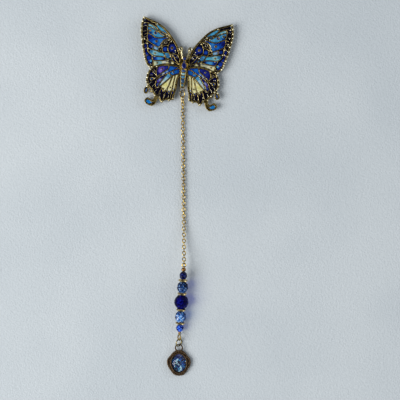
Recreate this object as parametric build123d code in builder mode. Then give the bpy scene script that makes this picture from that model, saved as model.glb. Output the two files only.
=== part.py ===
from build123d import *
import os
from math import cos, pi, radians, sin, sqrt

# Butterfly hair pin with a chain, a bead drop and a cameo charm.
# Units are millimetres. X runs across the wings, Y from the charm towards the antennae,
# Z up from the surface that the piece lies on. Parts are drawn round the middle of the
# butterfly, and save() moves them so that the origin is under the middle of the whole piece.

WING_Y = 74.65         # from the middle of the whole piece to the middle of the butterfly

# butterfly casting
BASE_Z = 2.05          # underside of the casting
BASE_T = 0.75          # thickness of the backing sheet
WALL_T = 0.55          # height of the cell walls above the sheet
VEIN_W = 0.42          # width of a cell wall
FILL_T = 0.42          # depth of the enamel in a cell
BODY_T = 1.0           # height of the body above the cell walls

# eyelet and rings
EYELET_Y = -12.95
EYELET_HOLE = 2.4
EYELET_OD = 3.4
EYELET_T = 0.5
RING_R = 1.95          # centreline radius of the tail ring
RING_WIRE = 0.6
RING_ROLL = 46         # degrees the ring is turned about the strand, to pass through the eyelet
CHARM_RING_R = 2.2
CHARM_RING_WIRE = 0.7
CHARM_RING_ROLL = -48

# chain
LINKS = 54
PITCH = 1.78
LINK_WIRE = 0.5
LINK_R = 0.85          # centreline radius of a link end
LINK_HALF = 0.32       # half length of the straight side of a link
CHAIN_YAW = 5.75       # degrees the chain leans towards +X
FLAT_Z = 1.12

# bead drop
PIN_WIRE = 0.7
BORE = 0.86            # bead bore, a running fit on the pin
PIN_YAW = 1.4
PIN_DIP = 4.0
TOP_LOOP_R = 1.0
LOW_LOOP_R = 1.65
PLAY = 0.05            # gap between neighbours on the pin

# charm
CHARM_YAW = 5.0
CHARM_T = 2.05
BAIL_R = 1.85
BAIL_WIRE = 0.7
CHARM_H = 14.5

# hair grip
GRIP_LEN = 42.0
GRIP_W = 1.6
GRIP_T = 0.5
GRIP_Y = 3.0
PAD_T = 0.3

os.makedirs("parts", exist_ok=True)


def save(builder, label):
    """Move a finished part into the frame of the whole piece, name it and write its STEP file."""
    part = builder.part.moved(Location((0, WING_Y, 0)))
    part.label = label
    export_step(part, "parts/" + label + ".step")


def smooth_face(points, mode=Mode.ADD):
    """Fill a smooth closed outline in the open sketch."""
    with BuildLine() as edge:
        Spline(*points, periodic=True)
    make_face(edge.edges(), mode=mode)


def strip(points, width=VEIN_W, mode=Mode.SUBTRACT):
    """Draw a band of constant width along a smooth curve in the open sketch."""
    with BuildLine() as edge:
        Spline(*points)
    trace(edge.edges(), width, mode=mode)


def scallops(points, bulge):
    """Join the points with arcs that bulge to the right of the direction of travel."""
    for start, end in zip(points, points[1:]):
        dx = end[0] - start[0]
        dy = end[1] - start[1]
        length = sqrt(dx * dx + dy * dy)
        middle_x = (start[0] + end[0]) / 2 - bulge * dy / length
        middle_y = (start[1] + end[1]) / 2 + bulge * dx / length
        ThreePointArc(start, (middle_x, middle_y), end)


def direction(yaw, dip=0.0):
    """Unit vector from the butterfly towards the charm, turned by yaw and tipped down by dip."""
    a = radians(yaw)
    b = radians(dip)
    return Vector(sin(a) * cos(b), -cos(a) * cos(b), -sin(b))


def rolled(origin, along, roll):
    """Plane whose X axis is along the strand and whose normal is rolled about it."""
    side = along.cross(Vector(0, 0, 1)).normalized()
    upright = side.cross(along).normalized()
    normal = upright * cos(radians(roll)) + side * sin(radians(roll))
    return Plane(origin=origin, x_dir=along, z_dir=normal)


def bored(origin, along):
    """Plane for a bead: its Z axis is the pin axis."""
    return Plane(origin=origin, x_dir=along.cross(Vector(0, 0, 1)), z_dir=along)


# ---------------------------------------------------------------- wing outlines

LEADING_EDGE = [(2.0, 2.6), (3.9, 10.4), (6.0, 13.9), (8.6, 17.2), (11.4, 20.3), (14.2, 22.5),
                (17.1, 24.1), (20.0, 25.2), (23.0, 26.2), (25.3, 27.1)]
FORE_MARGIN = [(25.3, 27.1), (26.2, 24.2), (26.5, 20.8), (26.2, 17.2), (25.5, 13.8), (24.8, 10.4),
               (24.0, 7.2), (23.1, 4.0), (21.9, 0.9), (20.2, -1.3), (18.6, -2.0)]
HIND_MARGIN = [(18.6, -2.0), (20.2, -4.7), (20.8, -7.8), (20.6, -10.6), (19.0, -12.6), (17.2, -14.2)]
FORE_LEAD = [(2.9, 2.5), (4.9, 9.8), (6.8, 13.2), (9.3, 16.4), (12.0, 19.4), (14.7, 21.5),
             (17.5, 23.1), (20.4, 24.2), (23.3, 25.2), (24.9, 26.0)]
FORE_OUTER = [(24.9, 26.0), (25.2, 24.2), (25.6, 21.0), (25.3, 17.4), (24.6, 13.9), (23.9, 10.5),
              (23.1, 7.3), (22.2, 4.3), (21.0, 1.4), (19.7, -0.3), (18.3, -1.0)]
FORE_LOWER = [(18.3, -1.0), (16.8, -0.8), (14.8, 0.0), (12.0, 0.9), (8.5, 1.2), (5.5, 0.9), (2.7, 0.5)]
HIND_UPPER = [(2.6, -0.5), (5.5, -0.1), (8.5, 0.1), (12.0, -0.2), (15.0, -1.2), (18.1, -2.5)]
HIND_OUTER = [(18.1, -2.5), (19.1, -4.6), (19.8, -7.0), (19.7, -9.6), (18.6, -11.9), (16.6, -14.0),
              (15.0, -16.2), (13.6, -17.9)]
HIND_LOWER = [(13.6, -17.9), (12.2, -17.8), (11.0, -19.7), (10.0, -19.3), (8.8, -18.5), (7.0, -18.4),
              (5.2, -17.9)]
HIND_INNER = [(5.2, -17.9), (4.9, -15.5), (4.3, -12.6), (4.0, -9.6), (3.5, -6.8), (2.6, -3.6),
              (2.6, -0.5)]

FORE_VEINS = [
    [(2.2, 1.3), (5.5, 4.1), (8.5, 6.9), (10.6, 7.6), (13.3, 7.3), (15.5, 7.8), (18.0, 8.4),
     (20.2, 8.5), (21.7, 9.6), (21.9, 11.2)],
    [(2.2, 0.9), (5.5, 2.2), (8.2, 3.4), (10.6, 4.4), (13.5, 4.9), (16.6, 4.9), (18.6, 5.1),
     (20.4, 6.2), (21.4, 7.6), (21.7, 9.6)],
    [(9.4, 3.8), (11.5, 3.0), (14.0, 2.6), (16.6, 2.3), (18.0, 2.4)],
    [(18.6, 5.1), (18.7, 3.8), (18.0, 2.4), (17.9, 1.0), (17.0, -1.2)],
    [(11.0, 4.5), (11.5, 5.8), (12.7, 7.3)],
    [(8.0, 14.6), (9.4, 15.3), (11.2, 16.6), (13.3, 17.1), (16.5, 19.0), (19.3, 20.4), (21.2, 21.2),
     (23.0, 21.5)],
    [(14.9, 18.2), (17.0, 20.5), (19.2, 22.2), (21.2, 23.1), (24.0, 23.6)],
    [(11.3, 16.3), (12.2, 18.0), (15.0, 19.3), (17.6, 21.6), (18.6, 24.2)],
    [(11.2, 16.4), (14.0, 15.8), (17.0, 15.4), (18.9, 16.1), (20.6, 17.0), (22.4, 17.4),
     (24.2, 16.6)],
    [(12.6, 14.6), (13.6, 12.6), (15.4, 10.2), (17.6, 10.9), (20.0, 12.1), (22.1, 13.3),
     (23.8, 14.2)],
    [(9.2, 14.9), (10.8, 15.2), (12.6, 14.6), (13.7, 12.8), (14.9, 10.4), (15.4, 9.0),
     (15.3, 7.6)],
    [(3.3, 5.0), (5.3, 6.9), (8.4, 7.0), (10.1, 8.8), (10.1, 11.2), (9.4, 13.4), (7.9, 15.2)],
    [(10.1, 11.2), (11.7, 11.6), (13.2, 10.4), (13.3, 8.8), (12.6, 7.3)],
    [(18.6, 8.5), (18.7, 10.0), (18.4, 11.3)],
    [(6.2, 2.6), (7.6, 4.4), (8.9, 7.0)],
    [(21.9, 23.3), (22.9, 21.4), (22.6, 19.4), (22.4, 17.4), (22.6, 15.4), (22.1, 13.3),
     (22.7, 11.6), (21.9, 11.2)],
]
HIND_VEINS = [
    [(2.4, -0.9), (5.0, -1.9), (7.2, -3.2), (9.2, -4.4), (11.6, -5.6), (13.8, -6.8), (16.2, -7.9)],
    [(8.7, 0.4), (8.9, -1.6), (11.0, -3.4), (13.3, -5.3), (16.2, -7.9)],
    [(14.6, -0.6), (15.5, -2.8), (15.6, -4.8), (14.9, -6.7)],
    [(2.4, -4.4), (4.5, -4.7), (6.3, -5.3), (7.8, -4.6), (8.3, -3.9)],
    [(6.3, -5.3), (8.6, -8.0), (11.2, -10.6), (13.3, -12.6), (15.6, -13.4)],
    [(9.2, -4.4), (10.9, -6.9), (12.5, -9.4), (13.9, -12.9)],
    [(11.6, -5.6), (14.4, -8.0), (15.6, -10.2), (15.2, -12.2), (13.9, -12.9)],
    [(5.9, -5.2), (6.9, -8.4), (7.8, -11.4), (8.7, -13.8), (9.6, -16.4), (10.6, -20.2)],
    [(4.6, -4.7), (5.0, -8.0), (5.4, -11.2), (5.8, -14.6), (6.2, -18.9)],
    [(4.0, -13.4), (4.8, -14.4), (5.8, -14.0), (7.3, -15.9), (8.7, -13.8), (10.3, -15.0),
     (11.6, -12.9), (12.9, -12.3)],
    [(11.6, -12.9), (12.6, -15.2), (13.9, -18.6)],
]
FORE_SPOTS = [(18.0, 18.2, 0.95), (17.1, 13.4, 0.75), (7.8, 10.4, 0.8), (21.0, 19.4, 0.6),
              (17.3, 6.5, 0.6), (15.5, 1.0, 0.55), (13.6, 11.3, 0.55), (14.3, 8.8, 0.35)]
HIND_SPOTS = [(17.8, -8.2, 1.0), (12.4, -2.0, 0.5), (5.7, -3.5, 0.45), (16.9, -3.7, 0.8),
              (15.0, -9.9, 0.45), (10.7, -13.4, 0.4), (6.8, -12.2, 0.5)]

# a point near the middle of each cell, listed by the colour of its enamel
CELL_COLOURS = {
    "enamel_black": [(4.7, 4.9), (11.2, 12.9), (13.5, 18.0), (16.5, -9.6), (11.3, -16.6),
                     (8.0, -16.9), (5.4, -16.2)],
    "enamel_navy": [(7.3, 10.1), (20.5, 10.6), (22.3, 13.1), (6.2, 3.9), (11.6, 9.4)],
    "enamel_cobalt": [(17.4, 14.0), (4.8, -3.3), (8.2, -2.5), (14.8, 3.7)],
    "enamel_azure": [(18.4, 18.0), (9.7, 5.6), (14.8, 21.2), (17.1, 9.4)],
    "enamel_aqua": [(19.7, 21.4), (16.6, 6.6), (10.1, -7.8)],
    "enamel_cream": [(11.5, 1.5), (9.3, -10.9), (6.5, -10.7), (4.4, -9.1)],
    "enamel_violet": [(12.6, -2.5), (13.3, -8.9)],
}

with BuildSketch() as fore_field:
    with BuildLine():
        Spline(*FORE_LEAD)
        Spline(*FORE_OUTER)
        Spline(*FORE_LOWER)
        Line(FORE_LOWER[-1], FORE_LEAD[0])
    make_face()
    for vein in FORE_VEINS:
        strip(vein)
    for x, y, radius in FORE_SPOTS:
        with Locations((x, y)):
            Circle(radius, mode=Mode.SUBTRACT)

with BuildSketch() as hind_field:
    with BuildLine():
        Spline(*HIND_UPPER)
        Spline(*HIND_OUTER)
        Spline(*HIND_LOWER)
        Spline(*HIND_INNER)
    make_face()
    for vein in HIND_VEINS:
        strip(vein)
    for x, y, radius in HIND_SPOTS:
        with Locations((x, y)):
            Circle(radius, mode=Mode.SUBTRACT)

CELLS = [face for face in fore_field.faces() + hind_field.faces() if face.area > 0.45]

# ---- PARTS ----------------------------------------------------- butterfly casting

EYE_SPOTS = [(18.0, 18.2, 0.6), (17.8, -8.2, 0.65), (16.9, -3.7, 0.45)]
BIG_TAIL = [(13.3, -17.8), (13.9, -20.7), (15.2, -22.9), (16.6, -23.7), (18.4, -23.3), (20.0, -22.5),
            (20.8, -21.2), (20.3, -19.7), (19.0, -18.9), (17.9, -19.5), (16.6, -20.0),
            (15.6, -19.3), (15.2, -17.6)]
SMALL_TAIL = [(19.4, -12.2), (20.9, -13.1), (21.8, -14.9), (21.3, -16.6), (20.2, -16.9),
              (19.2, -16.0), (19.0, -14.3)]
BIG_DROP = [(16.0, -21.3), (17.3, -20.9), (18.5, -20.2), (19.6, -20.4), (19.9, -21.4),
            (19.0, -22.3), (17.4, -22.5)]
SMALL_DROP = [(20.0, -13.7), (20.8, -14.5), (21.0, -15.5), (20.4, -16.1), (19.8, -15.4)]
HEM = [(17.2, -14.2), (16.3, -16.2), (15.0, -17.4), (14.2, -18.9), (12.5, -18.9), (11.5, -20.6),
       (10.2, -20.4), (8.9, -19.4), (6.9, -19.5), (4.3, -18.9)]
KNOTS = [(17.0, -15.1, 1.0), (10.9, -20.4, 0.85), (6.9, -19.4, 0.75)]

with BuildSketch() as wings:
    with BuildLine():
        Spline(*LEADING_EDGE)
        scallops(FORE_MARGIN, 0.25)
        Line(FORE_MARGIN[-1], (1.2, -2.0))
        Line((1.2, -2.0), (1.2, 2.6))
        Line((1.2, 2.6), LEADING_EDGE[0])
    make_face()
    with BuildLine():
        Line((1.2, -1.0), HIND_MARGIN[0])
        scallops(HIND_MARGIN, 0.3)
        scallops(HEM, 0.12)
        Spline(HEM[-1], (4.0, -16.2), (3.6, -14.0), (3.1, -12.2), (3.0, -9.6), (2.9, -7.3), (1.2, -4.6))
        Line((1.2, -4.6), (1.2, -1.0))
    make_face()
    smooth_face(BIG_TAIL)
    smooth_face(SMALL_TAIL)
    strip([(18.9, -11.4), (19.5, -12.4), (20.0, -13.6)], 1.3, Mode.ADD)
    strip([(1.1, 4.4), (1.6, 6.5), (2.2, 8.6), (2.6, 10.0)], 1.05, Mode.ADD)
    for x, y, radius in KNOTS + [(2.6, 10.4, 1.25)]:
        with Locations((x, y)):
            Circle(radius)
    with Locations((2.9, 10.3)):
        Circle(0.38, mode=Mode.SUBTRACT)
    mirror(about=Plane.YZ)

BODY_SIDE = [(0.0, 6.1), (1.15, 5.5), (1.35, 4.4), (1.15, 3.5), (1.9, 2.4), (2.15, 0.6), (1.95, -1.6),
             (1.65, -4.0), (1.7, -7.0), (1.55, -9.6), (1.0, -11.4), (0.0, -11.9)]
BODY_OUTLINE = BODY_SIDE + [(-x, y) for x, y in BODY_SIDE[-2:0:-1]]

# x radius, y radius and y centre of each stone along the body
STONES = [(0.85, 0.85, 4.75), (0.3, 0.3, 3.1), (0.95, 1.5, 0.9), (0.95, 0.8, -2.1),
          (0.9, 0.55, -4.2), (0.95, 0.55, -6.1), (0.85, 0.9, -8.6), (0.65, 0.55, -10.7)]
SHEET_TOP = BASE_Z + BASE_T
WALL_TOP = SHEET_TOP + WALL_T
BODY_TOP = WALL_TOP + BODY_T
STONE_SEAT = 0.45

with BuildSketch(Plane.XY.offset(BODY_TOP - STONE_SEAT)) as stone_seats:
    for rx, ry, y in STONES:
        with Locations((0, y)):
            Ellipse(rx, ry)

with BuildSketch(Plane.XY.offset(SHEET_TOP)) as fills:
    for cell in CELLS:
        add(cell)
    for x, y, radius in EYE_SPOTS:
        with Locations((x, y)):
            Circle(radius)
    smooth_face(BIG_DROP)
    smooth_face(SMALL_DROP)
    mirror(about=Plane.YZ)

with BuildPart() as casting:
    with BuildSketch(Plane.XY.offset(BASE_Z)):
        add(wings.sketch)
        with Locations((0, -1.0)):
            Rectangle(3.0, 8.0)
    extrude(amount=BASE_T)
    with Locations((0, EYELET_Y, BASE_Z)):
        Cylinder(EYELET_OD / 2, EYELET_T, align=(Align.CENTER, Align.CENTER, Align.MIN))
    with BuildSketch(Plane.XY.offset(SHEET_TOP)):
        add(wings.sketch)
        add(fills.sketch, mode=Mode.SUBTRACT)
    extrude(amount=WALL_T)
    with BuildSketch(Plane.XY.offset(BASE_Z)):
        smooth_face(BODY_OUTLINE)
    extrude(amount=WALL_TOP - BASE_Z)
    with BuildSketch(Plane.XY.offset(WALL_TOP)):
        smooth_face(BODY_OUTLINE)
    with BuildSketch(Plane.XY.offset(BODY_TOP)):
        smooth_face([(x * 0.82, y * 0.97) for x, y in BODY_OUTLINE])
    loft()
    extrude(stone_seats.sketch, amount=STONE_SEAT + 0.1, mode=Mode.SUBTRACT)
    with Locations((0, EYELET_Y, BASE_Z)):
        Cylinder(EYELET_HOLE / 2, 6, mode=Mode.SUBTRACT)
save(casting, "butterfly_casting")

with BuildPart() as stones:
    extrude(stone_seats.sketch, amount=STONE_SEAT + 0.3)
    fillet(stones.faces().filter_by(Plane.XY).group_by(Axis.Z)[-1].edges(), 0.22)
save(stones, "body_stones")


def cell_colour(cell):
    """Colour of the seed point that lies nearest to the middle of a cell."""
    middle = cell.center()
    best = None
    for colour, seeds in CELL_COLOURS.items():
        for x, y in seeds:
            distance = (x - middle.X) ** 2 + (y - middle.Y) ** 2
            if best is None or distance < best[0]:
                best = (distance, colour)
    return best[1]


for colour in CELL_COLOURS:
    with BuildPart() as enamel:
        with BuildSketch(Plane.XY.offset(SHEET_TOP)):
            for cell in CELLS:
                if cell_colour(cell) == colour:
                    add(cell)
            if colour == "enamel_azure":
                smooth_face(BIG_DROP)
                smooth_face(SMALL_DROP)
            if colour == "enamel_cobalt":
                for x, y, radius in EYE_SPOTS:
                    with Locations((x, y)):
                        Circle(radius)
            mirror(about=Plane.YZ)
        extrude(amount=FILL_T)
    save(enamel, colour)

# ---------------------------------------------------------------- hair grip

GRIP_TOP_Z = BASE_Z - PAD_T
UPPER_Z = GRIP_TOP_Z - GRIP_T / 2
LOWER_Z = GRIP_T / 2
BEND_X = -GRIP_LEN / 2 + 0.6
KNUCKLE_X = BEND_X + GRIP_T / 2 + 0.05
BEND_R = (UPPER_Z - LOWER_Z) / 2
BEND_Z = (UPPER_Z + LOWER_Z) / 2
TIP_X = GRIP_LEN / 2 - 1.0
TIP_RISE = 0.45

with BuildPart() as pad:
    with Locations((0, GRIP_Y - 1.0, GRIP_TOP_Z)):
        Cylinder(4.0, PAD_T, align=(Align.CENTER, Align.CENTER, Align.MIN))
save(pad, "grip_pad")

with BuildPart() as upper_leg:
    with BuildSketch(Plane.XZ.offset(-GRIP_Y)):
        with BuildLine() as upper_line:
            Line((TIP_X, UPPER_Z), (BEND_X, UPPER_Z))
            CenterArc((BEND_X, BEND_Z), BEND_R, 90, 180)
        trace(upper_line.edges(), GRIP_T)
    extrude(amount=GRIP_W / 2, both=True)
save(upper_leg, "grip_upper_leg")

with BuildPart() as lower_leg:
    with BuildSketch(Plane.XZ.offset(-GRIP_Y)):
        with BuildLine() as lower_line:
            Line((KNUCKLE_X, LOWER_Z), (-7.0, LOWER_Z))
            Spline((-7.0, LOWER_Z), (-4.0, 0.8), (-1.0, 0.35), (2.0, 0.85), (5.0, 0.35), (8.0, 0.85),
                   (11.5, TIP_RISE), tangents=[(1, 0), (1, 0)])
            Line((11.5, TIP_RISE), (TIP_X, TIP_RISE))
        trace(lower_line.edges(), GRIP_T)
        with Locations((KNUCKLE_X, LOWER_Z)):
            Circle(GRIP_T / 2)
    extrude(amount=GRIP_W / 2, both=True)
save(lower_leg, "grip_lower_leg")

for name, z in (("grip_upper_tip", UPPER_Z), ("grip_lower_tip", TIP_RISE)):
    with BuildPart() as tip:
        with Locations((TIP_X, GRIP_Y, z)):
            Box(2.0, GRIP_W + 0.36, GRIP_T + 0.36)
        fillet(tip.edges(), 0.3)
        with Locations((TIP_X - 2.0, GRIP_Y, z)):
            Box(4.0, GRIP_W, GRIP_T, mode=Mode.SUBTRACT)
    save(tip, name)

# ---------------------------------------------------------------- tail ring and chain


def add_ring(plane, radius, wire):
    """Round wire ring in the given plane."""
    with Locations(plane.location):
        Torus(radius, wire / 2)


def add_link(plane):
    """Oval chain link whose long axis is the X axis of the plane."""
    with BuildLine(plane) as loop:
        Line((-LINK_HALF, LINK_R), (LINK_HALF, LINK_R))
        CenterArc((LINK_HALF, 0), LINK_R, 90, -180)
        Line((LINK_HALF, -LINK_R), (-LINK_HALF, -LINK_R))
        CenterArc((-LINK_HALF, 0), LINK_R, -90, -180)
    start = plane.from_local_coords((0, LINK_R, 0))
    with BuildSketch(Plane(origin=start, z_dir=plane.x_dir)) as section:
        Circle(LINK_WIRE / 2)
    sweep(section.sketch, path=loop.wire())


LINK_END = LINK_HALF + LINK_R
RIM = Vector(0, EYELET_Y - (EYELET_HOLE + EYELET_OD) / 4, BASE_Z + EYELET_T / 2)
RING_SLACK = 1.1
RING_DIRECTION = direction(10, 4)
RING_CENTRE = RIM + RING_DIRECTION * (RING_R - RING_SLACK) + Vector(0.3, 0, 0)
CHAIN_TOP = RING_CENTRE + RING_DIRECTION * (RING_R - (RING_WIRE + LINK_WIRE) / 2 - 0.12)

with BuildPart() as tail_ring:
    add_ring(rolled(RING_CENTRE, RING_DIRECTION, RING_ROLL), RING_R, RING_WIRE)
save(tail_ring, "tail_ring")

START_DIP = 13.0
START = CHAIN_TOP + direction(CHAIN_YAW, START_DIP) * LINK_END
SETTLE = 7.0           # distance over which the chain comes down to the surface
LIFT_FROM = 62.0       # distance at which it starts to rise to the bead drop
LIFT_SPAN = 31.0
LIFT = 4.10


def strand_point(distance):
    """Point on the centreline of the chain at a horizontal distance from its first link."""
    settle = max(0.0, 1 - distance / SETTLE)
    lift = max(0.0, (distance - LIFT_FROM) / LIFT_SPAN)
    z = FLAT_Z + (START.Z - FLAT_Z) * settle ** 2 + LIFT * lift ** 2
    flat = direction(CHAIN_YAW) * distance
    return Vector(START.X + flat.X, START.Y + flat.Y, z)


FIRST_ROLLS = [-44, 57, -20, 80]
LINK_PLANES = []
distance = 0.0
for i in range(LINKS):
    along = (strand_point(distance + PITCH / 2) - strand_point(distance - PITCH / 2)).normalized()
    roll = 90 * (i % 2)
    if i < len(FIRST_ROLLS):
        roll = FIRST_ROLLS[i]
    LINK_PLANES.append(rolled(strand_point(distance), along, roll))
    distance = distance + PITCH * sqrt(1 - along.Z ** 2)

for pair in range(LINKS // 2):
    with BuildPart() as links:
        add_link(LINK_PLANES[2 * pair])
        add_link(LINK_PLANES[2 * pair + 1])
    save(links, "chain_%02d" % (pair + 1))

# ---------------------------------------------------------------- bead drop

PIN_DIRECTION = direction(PIN_YAW, PIN_DIP)
LAST = LINK_PLANES[-1]
CHAIN_END = LAST.origin + LAST.x_dir * LINK_END
TOP_LOOP = CHAIN_END - LAST.x_dir * ((PIN_WIRE + LINK_WIRE) / 2 + PLAY) + PIN_DIRECTION * TOP_LOOP_R

# name and length of everything that is threaded on the pin, from the top
STACK = [("ball_cap", 2.4), ("bead_navy", 4.4), ("spacer_1", 1.3), ("bead_steel", 6.3),
         ("spacer_2", 1.3), ("bead_cobalt", 7.9), ("spacer_3", 1.3), ("bead_ice", 6.3),
         ("spacer_4", 1.3), ("bead_sapphire", 4.0), ("crimp", 1.3)]
# largest radius, end radius and number of facets round each bead
BEADS = {"bead_navy": (2.2, 1.0, 6), "bead_steel": (3.2, 1.5, 8), "bead_cobalt": (4.0, 1.9, 9),
         "bead_ice": (3.15, 1.5, 8), "bead_sapphire": (2.15, 0.95, 6)}

offset_along = TOP_LOOP_R + PIN_WIRE / 2 + PLAY
CENTRES = {}
for name, length in STACK:
    CENTRES[name] = TOP_LOOP + PIN_DIRECTION * (offset_along + length / 2)
    offset_along = offset_along + length + PLAY
LOW_LOOP = TOP_LOOP + PIN_DIRECTION * (offset_along + PIN_WIRE / 2 + LOW_LOOP_R)
PIN_LENGTH = offset_along + PIN_WIRE / 2 - TOP_LOOP_R

with BuildPart() as eye_pin:
    add_ring(rolled(TOP_LOOP, PIN_DIRECTION, 0), TOP_LOOP_R, PIN_WIRE)
    add_ring(rolled(LOW_LOOP, PIN_DIRECTION, 62), LOW_LOOP_R, PIN_WIRE)
    with Locations(bored(TOP_LOOP + PIN_DIRECTION * TOP_LOOP_R, PIN_DIRECTION).location):
        Cylinder(PIN_WIRE / 2, PIN_LENGTH, align=(Align.CENTER, Align.CENTER, Align.MIN))
save(eye_pin, "eye_pin")


def ring_of_points(radius, z, count, turn):
    """Points evenly spaced on a circle at height z."""
    return [(radius * cos(2 * pi * (k + turn) / count), radius * sin(2 * pi * (k + turn) / count), z)
            for k in range(count)]


for name, length in STACK:
    with BuildPart() as piece:
        with Locations(bored(CENTRES[name], PIN_DIRECTION).location):
            if name in BEADS:
                radius, end_radius, facets = BEADS[name]
                corners = ring_of_points(end_radius, length / 2, facets, 0)
                corners += ring_of_points(end_radius, -length / 2, facets, 0)
                corners += ring_of_points(radius, 0, facets, 0)
                if facets > 6:
                    corners += ring_of_points(radius * 0.88, length * 0.27, facets, 0.5)
                    corners += ring_of_points(radius * 0.88, -length * 0.27, facets, 0.5)
                ConvexPolyhedron(corners)
            elif name.startswith("spacer"):
                Cylinder(1.3, length)
                Cylinder(2.3, 0.75)
            elif name == "ball_cap":
                Sphere(1.3)
                Cylinder(2.0, length, mode=Mode.INTERSECT)
            else:
                Cylinder(0.75, length)
            bore = PIN_WIRE if name == "crimp" else BORE
            Cylinder(bore / 2, length + 1, mode=Mode.SUBTRACT)
    save(piece, name)

# ---------------------------------------------------------------- charm

CHARM_SLACK = (PIN_WIRE + CHARM_RING_WIRE) / 2 + 0.1
BAIL_SLACK = (BAIL_WIRE + CHARM_RING_WIRE) / 2 + 0.3
LOOP_END = LOW_LOOP + PIN_DIRECTION * LOW_LOOP_R
CHARM_RING_DIRECTION = direction(3, 18)
CHARM_RING_CENTRE = LOOP_END + CHARM_RING_DIRECTION * (CHARM_RING_R - CHARM_SLACK)
BAIL_TOP = CHARM_RING_CENTRE + CHARM_RING_DIRECTION * (CHARM_RING_R - BAIL_SLACK)
BAIL_CENTRE = BAIL_TOP + direction(CHARM_YAW) * BAIL_R
CHARM_DOWN = direction(CHARM_YAW)
CHARM_CENTRE = BAIL_CENTRE + CHARM_DOWN * (CHARM_H / 2 + BAIL_R - 0.1)
CHARM_FLOOR = Plane(origin=(CHARM_CENTRE.X, CHARM_CENTRE.Y, 0), x_dir=(-CHARM_DOWN.Y, CHARM_DOWN.X, 0),
                    z_dir=(0, 0, 1))
TRAY_T = 0.95
SEAT_RX = 4.1
SEAT_RY = 5.1
OUTLINE = [(0.0, 7.25), (3.6, 6.0), (6.3, 3.2), (6.9, 0.8), (6.1, -2.8), (4.2, -5.7), (2.2, -7.0),
           (0.0, -7.25)]

with BuildPart() as charm_ring:
    add_ring(rolled(CHARM_RING_CENTRE, CHARM_RING_DIRECTION, CHARM_RING_ROLL), CHARM_RING_R,
             CHARM_RING_WIRE)
save(charm_ring, "charm_ring")

with BuildPart() as bezel:
    with BuildSketch(CHARM_FLOOR):
        smooth_face(OUTLINE + [(-x, y) for x, y in OUTLINE[-2:0:-1]])
    extrude(amount=CHARM_T)
    fillet(bezel.faces().sort_by(Axis.Z)[-1].edges(), 0.4)
    with BuildSketch(CHARM_FLOOR):
        Ellipse(SEAT_RX + 0.7, SEAT_RY + 0.7)
    extrude(amount=CHARM_T + 0.45)
    with BuildSketch(CHARM_FLOOR.offset(TRAY_T)):
        Ellipse(SEAT_RX, SEAT_RY)
    extrude(amount=4, mode=Mode.SUBTRACT)
    add_ring(Plane(origin=BAIL_CENTRE, x_dir=CHARM_DOWN, z_dir=(0, 0, 1)), BAIL_R, BAIL_WIRE)
save(bezel, "charm_bezel")

with BuildPart() as print_disc:
    with BuildSketch(CHARM_FLOOR.offset(TRAY_T)):
        Ellipse(SEAT_RX - 0.1, SEAT_RY - 0.1)
    extrude(amount=0.15)
save(print_disc, "charm_print")

with BuildPart() as cabochon:
    with BuildSketch(CHARM_FLOOR.offset(TRAY_T + 0.15)):
        Ellipse(4.0, 5.0)
    extrude(amount=2.4)
    fillet(cabochon.faces().sort_by(Axis.Z)[-1].edges(), 1.9)
save(cabochon, "charm_cabochon")
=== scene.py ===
"""Visual model of the butterfly hair pin, built round its CAD frame."""
import math

import bmesh
import bpy
from mathutils import Matrix, Vector, geometry


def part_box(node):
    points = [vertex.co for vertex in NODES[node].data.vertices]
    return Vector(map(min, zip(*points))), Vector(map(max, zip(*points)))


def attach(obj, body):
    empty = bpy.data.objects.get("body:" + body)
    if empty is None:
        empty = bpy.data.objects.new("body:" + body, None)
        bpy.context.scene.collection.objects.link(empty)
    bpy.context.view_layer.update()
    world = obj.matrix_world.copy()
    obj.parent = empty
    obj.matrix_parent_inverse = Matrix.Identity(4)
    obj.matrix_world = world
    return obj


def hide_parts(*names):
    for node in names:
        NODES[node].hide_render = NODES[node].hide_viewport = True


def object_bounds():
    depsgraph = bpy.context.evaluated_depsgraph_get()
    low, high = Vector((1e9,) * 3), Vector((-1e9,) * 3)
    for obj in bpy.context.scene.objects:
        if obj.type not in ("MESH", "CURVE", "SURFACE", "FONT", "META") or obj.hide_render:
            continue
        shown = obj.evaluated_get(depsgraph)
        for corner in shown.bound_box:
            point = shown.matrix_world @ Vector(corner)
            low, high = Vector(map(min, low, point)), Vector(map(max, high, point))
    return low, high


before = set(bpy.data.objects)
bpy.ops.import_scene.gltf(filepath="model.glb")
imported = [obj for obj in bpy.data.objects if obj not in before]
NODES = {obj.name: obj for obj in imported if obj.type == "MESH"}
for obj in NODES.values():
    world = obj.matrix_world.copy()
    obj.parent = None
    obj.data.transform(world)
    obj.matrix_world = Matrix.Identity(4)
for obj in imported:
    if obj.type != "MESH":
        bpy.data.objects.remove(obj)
cad_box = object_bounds()

MM = 0.001
SCENE = bpy.context.scene
# The wings are drawn round the middle of the butterfly, which is this far below their tips.
WING_TIP = 27.1 * MM
WINGS = Vector((0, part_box("butterfly_casting")[1].y - WING_TIP, 0))

# ------------------------------------------------------------------ node material helpers


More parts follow.
